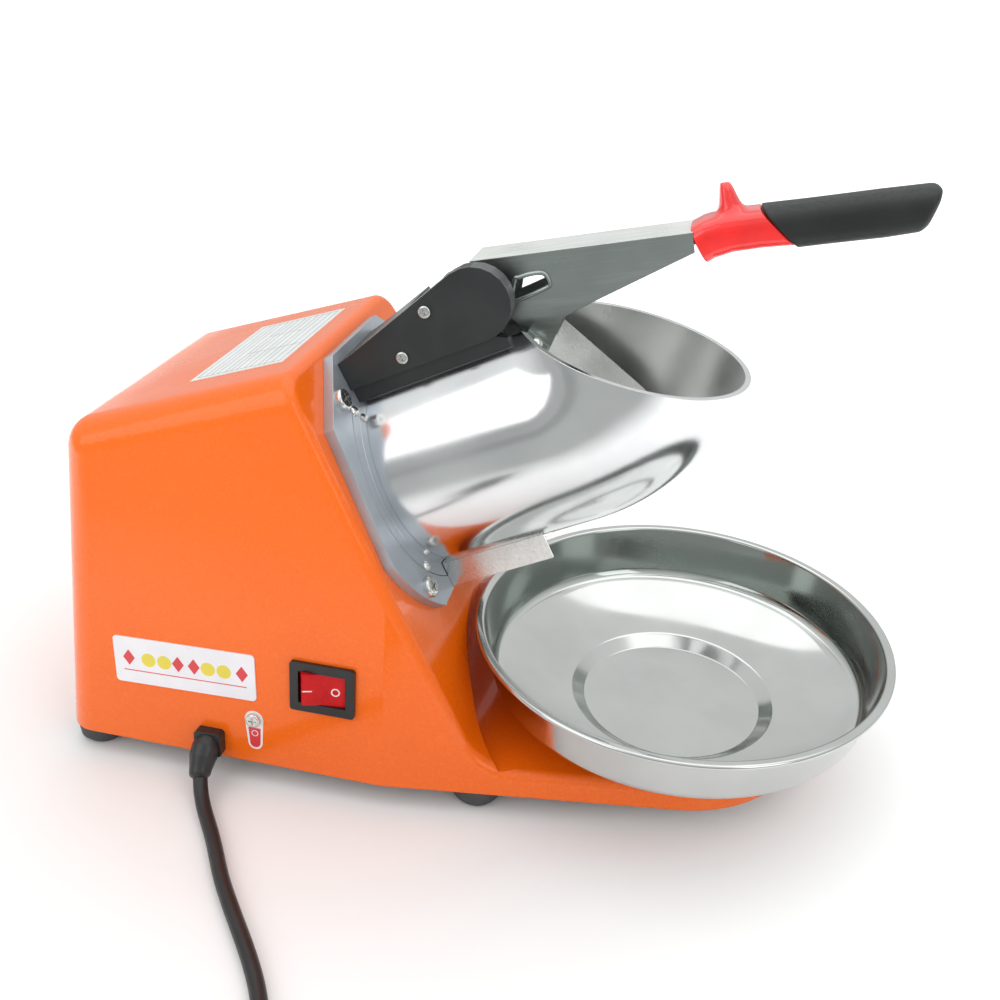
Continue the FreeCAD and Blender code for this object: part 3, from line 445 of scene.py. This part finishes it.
def soft_ring(top, bottom, half, power, count, scale):
    """Rounded-box section between a top and a bottom point, in lever coordinates."""
    middle, rise = (top + bottom) / 2, (top - bottom) / 2
    ring = []
    for step in range(count):
        a = 2 * math.pi * step / count
        across = math.copysign(abs(math.cos(a)) ** (2 / power), math.cos(a))
        up = math.copysign(abs(math.sin(a)) ** (2 / power), math.sin(a))
        ring.append(middle + rise * up * scale + Vector((0, half * across * scale, 0)))
    return ring


def end_round(t, length, radius_start, radius_end):
    """Scale that draws in the ends of a bar along quarter-round corners."""
    drawn_in = 0.484
    scale = 1.0
    for gap, radius in ((t * length, radius_start), ((1 - t) * length, radius_end)):
        if gap < radius:
            scale *= 1 - drawn_in * (1 - math.sqrt(1 - (1 - gap / radius) ** 2))
    return scale


# ---------------------------------------------------------------- pieces
def make_bowl(material):
    """Sheet bowl: flat well, step, rising dish, rounded foot, steep wall and rolled rim."""
    low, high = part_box("bowl")
    place = Matrix.Translation(((low.x + high.x) / 2, 0, low.z)) @ Matrix.Scale(MM, 4)
    rim, radius = (high.z - low.z) / MM, (high.x - low.x) / 2 / MM
    step, well, wall_top = 5.0, 44.0, radius - 4.2
    dish_radius, dish_start, dish_end, foot_radius = 118.8, -81.0, -62.0, 8.0
    wall_angle = -14
    first, last = math.radians(dish_start), math.radians(dish_end)
    dish_x, dish_z = well + 8.0 - dish_radius * math.cos(first), step - dish_radius * math.sin(first)
    foot_x = dish_x + (dish_radius - foot_radius) * math.cos(last)
    foot_z = dish_z + (dish_radius - foot_radius) * math.sin(last)
    outer = [(0, 0), (well - 1, 0)] + arc(well, 2.0, 2.0, -90, -45, 4)
    outer += arc(well + 8.0, step - 2.0, 2.0, 135, 100, 4)
    outer += arc(dish_x, dish_z, dish_radius, dish_start, dish_end, 12)
    outer += arc(foot_x, foot_z, foot_radius, dish_end, wall_angle, 8)
    outer += [(wall_top, rim - 3.6), (wall_top + 0.6, rim - 1.9)]
    outer += arc(radius - 1.4, rim - 1.4, 1.4, 225, 450, 14)
    inner = arc(wall_top + 1.2, rim - 1.9, 1.9, 90, 166, 6)
    inner += arc(foot_x, foot_z, foot_radius - SHEET, wall_angle, dish_end, 8)
    inner += arc(dish_x, dish_z, dish_radius - SHEET, dish_end, dish_start, 12)
    inner += arc(well + 8.2, step + SHEET - 2.6, 2.6, 100, 135, 4)
    inner += arc(well, 2.0, 2.0 - SHEET, -45, -90, 4) + [(0, SHEET)]
    piece = lathe("bowl_spun", outer + inner, place, "bowl", material, 256)
    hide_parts("bowl")


def horn_lift(point):
    """Raises the collar's top into the thumb horn, which leans a little towards the hinge."""
    middle, hinge_reach, grip_reach, half_width = 104.4, 3.1, 4.2, 4.6
    height, lean, flank_power, side_top = 11.4, 0.1, 5, 12
    if point.z <= side_top:
        return point
    ahead = point.x - middle
    reach = math.hypot(ahead / (hinge_reach if ahead < 0 else grip_reach), point.y / half_width)
    rise = height / (1 + reach ** flank_power)
    return point + Vector((-rise * lean, 0, rise))


def make_collar(material):
    """Glossy moulding round the end of the lever, with a thumb horn on top."""
    top = [(87.7, 16.2), (93.5, 18.5), (100, 19.7), (108.5, 19.8), (117.4, 19.8)]
    low = [(94.0, 0.7), (98, 2.5), (105, 3.9), (117, 4.1), (131.0, 3.4)]
    sections = []
    rows, length, squareness = 110, 34, 3.4
    for row in range(rows + 1):
        t = row / rows
        half = blend_number(t, 13.4, 11.4)
        scale = end_round(t, length, 2.2, 1.2)
        ring = soft_ring(along_polyline(top, t), along_polyline(low, t), half, squareness, 96, scale)
        sections.append([LEVER @ horn_lift(point) for point in ring])
    piece = loft("collar_moulding", sections, "lever", material)
    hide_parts("grip_collar")


def make_sleeve(material):
    """Soft sleeve with a slanted, rounded end."""
    top = [(116.2, 20.2), (140, 19.9), (163, 19.8), (186.6, 19.3)]
    low = [(130.2, 2.4), (146, 2.2), (163, 2.0), (178.3, 2.6)]
    sections = []
    rows, length, squareness = 60, 62, 3.0
    for row in range(rows + 1):
        t = row / rows
        half = blend_number(min(1.0, t * 4), 12.3, 11.2)
        scale = end_round(t, length, 0.6, 4.5)
        ring = soft_ring(along_polyline(top, t), along_polyline(low, t), half, squareness, 64, scale)
        sections.append([LEVER @ point for point in ring])
    piece = loft("sleeve_soft", sections, "lever", material)
    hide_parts("grip_sleeve")


def make_window_lip(material):
    """Rolled edge round the window in the lever's near cheek."""
    corners = [(10.8, -4.6), (14.3, 5.0), (16.4, 6.0), (22.6, 7.0)]
    corners += [(27.4, 6.2), (29.0, 1.8), (27.2, 0.2), (19, -2.4)]
    cheek, lip_radius = -12.7, 1.0
    near = [Vector((x, cheek, z)) for x, z in corners]
    loop = [LEVER @ p for p in smooth_path(near + [near[0]], 8)[:-1]]
    piece = tube("window_lip", loop, [lip_radius] * len(loop), "lever", material, 16, True)


def make_cord_boot(material):
    """Moulded elbow where the cord leaves the housing."""
    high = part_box("cord_grommet")[1]
    block_half, foot_height = 6.8 * MM, 12.0 * MM
    up = high.z - block_half
    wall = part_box("housing")[0].y + (up - foot_height) * math.tan(math.radians(SIDE_DRAFT))
    start = Vector((high.x - block_half, wall, up))
    bends = [(-0.5, -1.3, 0.5), (-0.8, -4.8, -1.5), (-0.9, -8.3, -4.6)]
    bends += [(-0.4, -13.0, -8.8), (0.5, -15.8, -11.0)]
    path = smooth_path([start + Vector(bend) * MM for bend in bends], 8)
    sizes = [(0.0, 6.0), (0.25, 6.7), (0.5, 6.5), (0.7, 5.4), (0.9, 4.9), (1.0, 3.6)]
    radii = [along_polyline_number(sizes, index / (len(path) - 1)) for index in range(len(path))]
    tube("cord_boot", path, radii, "frame", material, 32)


def finish_cad(node, *materials):
    """Keeps a CAD node's shape and gives it one or more finishes, the first one on every face."""
    piece = NODES[node]
    piece.data.materials.clear()
    for material in materials:
        piece.data.materials.append(material)
    return piece


def hopper_depth(point):
    """Distance from the barrel's bent centre line, for a point in mill coordinates."""
    x, z = point.x, point.z
    if z > BARREL_STRAIGHT:
        turn = math.atan2(z - BARREL_STRAIGHT, x + ELBOW_RADIUS)
        limit = math.radians(ELBOW_ANGLE)
        reach = math.hypot(x + ELBOW_RADIUS, z - BARREL_STRAIGHT)
        x = reach * (1.0 if turn < limit else math.cos(turn - limit)) - ELBOW_RADIUS
    return math.hypot(x, point.y)


def paint_facing_highlight(node, material, direction, least):
    """Gives a second, lighter finish as painted highlight to the faces of a CAD node that look towards a
    direction.
    """
    piece = NODES[node]
    piece.data.materials.append(material)
    turn = piece.matrix_world.to_3x3()
    for polygon in piece.data.polygons:
        if (turn @ polygon.normal).normalized().dot(direction) > least:
            polygon.material_index = 1


def finish_hopper(outside, inside, flange):
    """Polished outside, brushed inside, and a flange that matches the casting."""
    piece = finish_cad("hopper", outside, inside, flange)
    to_mill = MILL.inverted() @ piece.matrix_world
    flange_top, chord_error = 0.3, 1.2
    for polygon in piece.data.polygons:
        middle = to_mill @ polygon.center
        if middle.z < flange_top and hopper_depth(middle) > BARREL_OUTER - chord_error:
            polygon.material_index = 2
        elif hopper_depth(middle) < BARREL_INNER + chord_error / 2:
            polygon.material_index = 1


def make_badge_print(red, yellow):
    """Plain ornament: pairs of discs between diamonds, over a thin rule."""
    face, slant = 0.3, 1.5
    place = panel("badge_plate", face) @ Matrix.Rotation(math.radians(slant), 4, "Z")
    for index, x in enumerate((-18.0, -10.0, 12.0, 20.0)):
        disc = inlay("badge_disc_%d" % index, arc(x, 1.2, 3.6, 0, 345, 23), place, 0, INK, "frame", yellow)
    for index, x in enumerate((-28.0, -3.0, 5.0, 29.0)):
        shape = [(x - 3.0, 1.4), (x, 5.6), (x + 3.0, 1.4), (x, -2.8)]
        inlay("badge_diamond_%d" % index, shape, place, 0, INK, "frame", red)
    rule = inlay("badge_rule", bar(-31, -5.4, 31, -5.4, 0.5), place, 0, INK, "frame", red)


def make_label_print(ink):
    """Ruled table on the instruction label."""
    place = axes_matrix(slanted(TOP_SLOPE), ACROSS, slanted(90 + TOP_SLOPE), centre("instruction_label"))
    half_wide, half_long, stroke = 21, 37, 0.35
    rows = (-half_wide, -17, -14, -11, -7, -4, -1, 3, 6, 10, 13, 17, half_wide)
    lines = [bar(x, -half_long, x, half_long, stroke) for x in rows]
    lines += [bar(-half_wide, y, half_wide, y, stroke) for y in (-half_long, half_long)]
    lines += [bar(-7, -12, 21, -12, 0.3), bar(-7, 14, 10, 14, 0.3)]
    for index, line in enumerate(lines):
        inlay("label_rule_%02d" % index, line, place, 0.15, 0.2, "frame", ink)


def make_earth_print(red, white):
    """Red field with a small ring on the earth point's sticker."""
    place = panel("earth_label", 0.12)
    field = [(-3.0, 1.4), (3.3, 1.4)] + arc(0.4, -7.0, 2.6, 0, -180, 14)
    inlay("earth_field", field, place, 0, 0.05, "frame", red)
    ring_place = place @ Matrix.Translation((0.3, -1.6, 0))
    lathe("earth_ring", annulus(1.3, 1.7, 0, 0.1), ring_place, "frame", white, 48)


def make_rocker_marks(white):
    """Bar and ring on the two halves of the rocker."""
    place = axes_matrix(FORWARDS, WALL_UP, WALL_OUT, pivot("rocker_tilt"))
    on_tilt, off_tilt, sunk = math.radians(19.2), math.radians(6.0), -0.2
    on_half = place @ Matrix.Translation((-6.4, -0.6, 6.63)) @ Matrix.Rotation(on_tilt, 4, "Y")
    off_half = place @ Matrix.Translation((6.2, -0.6, 3.75)) @ Matrix.Rotation(off_tilt, 4, "Y")
    inlay("rocker_bar", bar(-2.2, 0, 2.2, 0, 0.6), on_half, sunk, INK, "rocker", white)
    lathe("rocker_ring", annulus(1.5, 2.1, sunk, INK), off_half, "rocker", white, 48)


# ---------------------------------------------------------------- stage
def add_ramp(nodes, stops):
    """Colour ramp of greys from (place, level) stops."""
    ramp = nodes.new("ShaderNodeValToRGB")
    while len(ramp.color_ramp.elements) < len(stops):
        ramp.color_ramp.elements.new(0.5)
    red_share, blue_share = 0.98, 0.99
    for element, (place, level) in zip(ramp.color_ramp.elements, stops):
        element.position = place
        element.color = (level * red_share, level, level * blue_share, 1)
    return ramp


def build_world():
    """White to the camera; reflections see a white backdrop, a bright ceiling and a dim room in front."""
    world = bpy.data.worlds.new("studio")
    bpy.context.scene.world = world
    world.use_nodes = True
    nodes, links = world.node_tree.nodes, world.node_tree.links
    nodes.clear()
    out = nodes.new("ShaderNodeOutputWorld")
    seen, lit = nodes.new("ShaderNodeBackground"), nodes.new("ShaderNodeBackground")
    choose = nodes.new("ShaderNodeMixShader")
    coords, split = nodes.new("ShaderNodeTexCoord"), nodes.new("ShaderNodeSeparateXYZ")
    links.new(coords.outputs["Generated"], split.inputs[0])
    front = add_ramp(nodes, [(0.0, 0.55), (0.12, 0.5), (0.28, 0.66), (0.45, 0.92), (0.6, 1.0), (1.0, 1.05)])
    back = add_ramp(nodes, [(0.0, 0.55), (0.1, 0.62), (0.25, 0.85), (0.4, 0.95), (1.0, 1.05)])
    side = nodes.new("ShaderNodeMapRange")
    side.inputs["From Min"].default_value, side.inputs["From Max"].default_value = -0.5, 0.5
    blend = nodes.new("ShaderNodeMix")
    blend.data_type = "RGBA"
    links.new(split.outputs["Y"], side.inputs["Value"])
    links.new(side.outputs["Result"], blend.inputs[0])
    for ramp, index in ((front, 6), (back, 7)):
        links.new(split.outputs["Z"], ramp.inputs["Fac"])
        links.new(ramp.outputs["Color"], blend.inputs[index])
    links.new(blend.outputs[2], lit.inputs["Color"])
    lit.inputs["Strength"].default_value = 0.86
    seen.inputs["Color"].default_value = (1.0, 1.0, 1.0, 1.0)
    path = nodes.new("ShaderNodeLightPath")
    links.new(path.outputs["Is Camera Ray"], choose.inputs[0])
    links.new(lit.outputs[0], choose.inputs[1])
    links.new(seen.outputs[0], choose.inputs[2])
    links.new(choose.outputs[0], out.inputs["Surface"])


def painted_dark_reflection(look):
    """Painted dark reflection: to glossy rays the front of the floor turns dark grey, so metal parts mirror a dim
    patch in front of the sweep.
    """
    split = look.node("ShaderNodeSeparateXYZ")
    look.join(look.place, split, 0)
    fully_dim, edge = -0.42, -0.26
    ahead = look.spread(split.outputs["Y"], 1.0, 0.0, fully_dim, edge)
    glossy = look.node("ShaderNodeLightPath").outputs["Is Glossy Ray"]
    both = look.node("ShaderNodeMath", operation="MULTIPLY")
    look.join(ahead, both, 0)
    look.join(glossy, both, 1)
    dark = look.node("ShaderNodeBsdfDiffuse")
    dark.inputs["Color"].default_value = (0.42, 0.43, 0.425, 1.0)
    choose = look.node("ShaderNodeMixShader")
    out = look.nodes["Material Output"]
    look.join(both.outputs[0], choose, 0)
    look.join(look.shader.outputs[0], choose, 1)
    look.join(dark.outputs[0], choose, 2)
    look.links.new(choose.outputs[0], out.inputs["Surface"])


def build_floor():
    """White sweep that glows a little away from the object, so that it fades to white."""
    half, glow_start, glow_full = 30.0, 0.15, 0.65
    look = Look("floor_white", (0.90, 0.90, 0.90), 0.0, 0.6)
    look.tint(look.noise(3.0), (0.88, 0.88, 0.885))
    reach = look.node("ShaderNodeVectorMath", operation="LENGTH")
    look.join(look.place, reach, 0)
    far = look.spread(reach.outputs["Value"], 0.0, 1.0, glow_start, glow_full)
    look.join(far, look.shader, "Emission Strength")
    look.set(Emission_Color=(0.6, 0.6, 0.6, 1.0))
    # Painted dark reflection on the front of the floor, seen only in the metal parts.
    painted_dark_reflection(look)
    data = bpy.data.meshes.new("floor")
    corners = [(-half, -half, 0), (half, -half, 0), (half, half, 0), (-half, half, 0)]
    data.from_pydata(corners, [], [(0, 1, 2, 3)])
    data.materials.append(look.material)
    floor = bpy.data.objects.new("floor", data)
    bpy.context.scene.collection.objects.link(floor)


def add_softbox(name, place, target, size, power):
    """Rectangular lamp aimed at a point, in metres and watts."""
    light = bpy.data.lights.new(name, "AREA")
    light.shape = "RECTANGLE"
    light.size, light.size_y = size
    light.energy = power
    lamp = bpy.data.objects.new(name, light)
    lamp.location = place
    lamp.rotation_mode = "QUATERNION"
    lamp.rotation_quaternion = (Vector(target) - Vector(place)).to_track_quat("-Z", "Y")
    bpy.context.scene.collection.objects.link(lamp)


def build_camera():
    """Stands at the picture's viewing angle."""
    place = (0.166459, -0.443976, 0.364186)
    turn, height, roll = math.radians(10.847), math.radians(27.791), math.radians(2.996)
    back = Vector((math.sin(turn) * math.cos(height), -math.cos(turn) * math.cos(height), math.sin(height)))
    right = Vector((math.cos(turn), math.sin(turn), 0))
    up = right.cross(-back)
    side = right * math.cos(roll) + up * math.sin(roll)
    rise = up * math.cos(roll) - right * math.sin(roll)
    data = bpy.data.cameras.new("camera")
    data.sensor_width, data.lens = 36.0, 37.9
    data.clip_start, data.clip_end = 0.01, 20.0
    camera = bpy.data.objects.new("camera", data)
    camera.matrix_world = Matrix((side, rise, back)).transposed().to_4x4()
    camera.location = place
    bpy.context.scene.collection.objects.link(camera)
    bpy.context.scene.camera = camera


def build_stage():
    """Room, floor, lamps and camera."""
    build_world()
    build_floor()
    add_softbox("ceiling_box", (0.1, 0.1, 1.4), (0.08, 0, 0.1), (2.0, 1.4), 7)
    add_softbox("key_box", (-0.9, -1.1, 1.0), (0.0, 0, 0.12), (1.2, 1.2), 5)
    add_softbox("fill_box", (1.2, -0.9, 0.8), (0.1, 0, 0.1), (0.6, 0.9), 2)
    build_camera()
    bpy.context.scene.view_settings.view_transform = "Standard"


# ---------------------------------------------------------------- assembly
def build_materials():
    """A finish for each material slot of the record, and some more for prints and for lighter copies painted as
    highlight on faces that look one way.
    """
    glossy, dull = {"Coat_Weight": 0.8}, {"Specular_IOR_Level": 0.25}
    looks = {
        "orange_paint": painted_orange(),
        "satin_casting": satin_casting(),
        "polished_steel": hopper_sheet("hopper_polish", (0.84, 0.85, 0.86), 0.15, 0.006),
        "brushed_inside": hopper_sheet("hopper_brushed", (0.88, 0.90, 0.89), 0.36, 0.012),
        "print_red": printed_paper("print_red", (0.72, 0.03, 0.04)),
        "print_yellow": printed_paper("print_yellow", (0.80, 0.66, 0.05)),
        "print_grey": printed_paper("print_grey", (0.22, 0.25, 0.26)),
        "print_white": printed_paper("print_white", (0.85, 0.84, 0.84)),
        "stainless": steel("stainless", (0.72, 0.72, 0.70), 0.15, 0.3),
        # Painted shade and highlight: zinc_steel is a darker copy of the lever's zinc, painted as shade; the next
        # entry is a lighter copy, painted as highlight on upward faces.
        "zinc_steel": lever_steel("zinc_painted_shade", (0.42, 0.46, 0.445), 1.0),
        "zinc_painted_highlight": lever_steel("zinc_painted_highlight", (0.88, 0.90, 0.88), 0.6),
        "bowl_steel": spun_bowl(centre("bowl")),
        "black_paint": moulded("satin_black", (0.018, 0.020, 0.021), 0.34, 0.46, 1500.0, 0.02),
        # Painted highlight: a lighter black standing in for the reflection from above on the hinge cover's
        # up-facing rim.
        "black_painted_highlight": moulded("black_painted_sheen", (0.075, 0.080, 0.082), 0.30, 0.40, 1500.0, 0.02),
        "red_plastic": moulded("gloss_red", (0.75, 0.012, 0.010), 0.10, 0.2, 300.0, 0.01, **glossy),
        "black_grip": moulded("soft_black", (0.009, 0.012, 0.010), 0.42, 0.55, 1800.0, 0.03),
        "red_clear": moulded("rocker_red", (0.48, 0.004, 0.006), 0.2, 0.3, 500.0, 0.005, **dull),
        "black_plastic": moulded("satin_plastic", (0.014, 0.014, 0.014), 0.3, 0.4, 1200.0, 0.02),
        "foot_rubber": moulded("foot_rubber", (0.05, 0.052, 0.055), 0.6, 0.75, 900.0, 0.05),
        "cord_pvc": moulded("cord_pvc", (0.012, 0.012, 0.013), 0.35, 0.45, 900.0, 0.02),
        "plug_brass": steel("pin_brass", (0.72, 0.52, 0.22), 0.2, 0.35),
        "plate_white": printed_paper("badge_white", (0.86, 0.84, 0.88)),
        "label_paper": printed_paper("label_white", (0.82, 0.84, 0.84)),
        "earth_sticker": printed_paper("sticker_white", (0.85, 0.83, 0.83)),
        "tool_steel": steel("tool_steel", (0.62, 0.63, 0.65), 0.15, 0.25),
        "motor_alloy": steel("motor_alloy", (0.55, 0.56, 0.58), 0.4, 0.55),
        "lamination": steel("lamination", (0.20, 0.20, 0.22), 0.4, 0.5),
        "copper": steel("copper", (0.62, 0.25, 0.10), 0.25, 0.4),
        "can_alloy": steel("can_alloy", (0.70, 0.71, 0.73), 0.25, 0.35),
        "nylon": moulded("nylon", (0.75, 0.75, 0.70), 0.35, 0.45, 700.0, 0.01),
        "wire_pvc": moulded("wire_pvc", (0.10, 0.18, 0.55), 0.4, 0.5, 700.0, 0.01),
    }
    return looks


def build_object():
    """Finishes on every CAD node, then the refined and added pieces."""
    looks = build_materials()
    for entry in frame["record"]["subparts"]:
        finish_cad(entry["node"], looks[entry["material_slot"]])
    finish_hopper(looks["polished_steel"], looks["brushed_inside"], looks["satin_casting"])
    # Painted highlight: the lever's faces that look upwards get the lighter zinc copy.
    paint_facing_highlight("lever_channel", looks["zinc_painted_highlight"], slanted(90 + LEVER_ANGLE), 0.85)
    # Painted highlight: the hinge cover's faces that look up and forwards get the lighter black.
    paint_facing_highlight("hinge_cover", looks["black_painted_highlight"], slanted(MILL_TILT), 0.25)
    make_bowl(looks["bowl_steel"])
    make_collar(looks["red_plastic"])
    make_sleeve(looks["black_grip"])
    make_window_lip(looks["zinc_steel"])
    make_badge_print(looks["print_red"], looks["print_yellow"])
    make_label_print(looks["print_grey"])
    make_earth_print(looks["print_red"], looks["print_white"])
    make_rocker_marks(looks["print_white"])
    make_cord_boot(looks["black_plastic"])


build_object()
build_stage()
